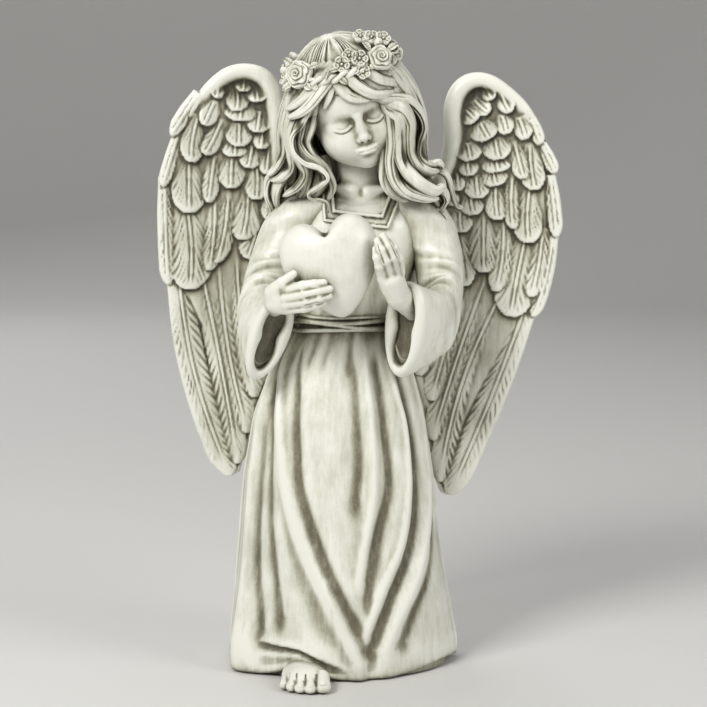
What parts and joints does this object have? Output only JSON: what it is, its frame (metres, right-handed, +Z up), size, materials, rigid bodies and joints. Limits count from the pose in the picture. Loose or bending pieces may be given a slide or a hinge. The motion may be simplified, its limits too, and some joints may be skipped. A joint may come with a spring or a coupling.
{
  "type": "angel figurine",
  "caption": "Standing resin angel figurine in a long gown, wings down its back, a flower garland in its hair and both hands round a heart, on a flat felted base",
  "frame": {"origin": "on the table, under the middle of the gown, at the felt's underside", "axes": "+Z up the figure, -Y the way the figure faces, +X to the viewer's right, which is the figure's own left"},
  "size_m": [0.1572, 0.0861, 0.2495],
  "materials": {
    "resin": "cast filled resin painted off-white, with an olive-brown antique wash left in the hollows, soft satin",
    "felt": "thin pressed felt with a short nap",
    "plug": "moulded black rubber",
    "steel": "plain drawn wire, glued in"
  },
  "bodies": {
    "root": {"gown": "resin", "base_plate": "resin", "pour_plug": "plug", "felt_pad": "felt", "foot": "resin", "sash": "resin", "collar": "resin", "bust": "resin", "neck_dowel": "steel", "head": "resin", "hair_crown": "resin", "fringe": "resin", "hair_right": "resin", "hair_left": "resin", "hair_back": "resin", "garland_vine": "resin", "rose_right": "resin", "rose_left": "resin", "blossoms": "resin", "sleeve_right": "resin", "sleeve_left": "resin", "hand_right": "resin", "hand_left": "resin", "heart": "resin", "heart_dowel": "steel", "wing_right": "resin", "wing_left": "resin", "wing_dowels_right": "steel", "wing_dowels_left": "steel"}
  },
  "joints": []
}
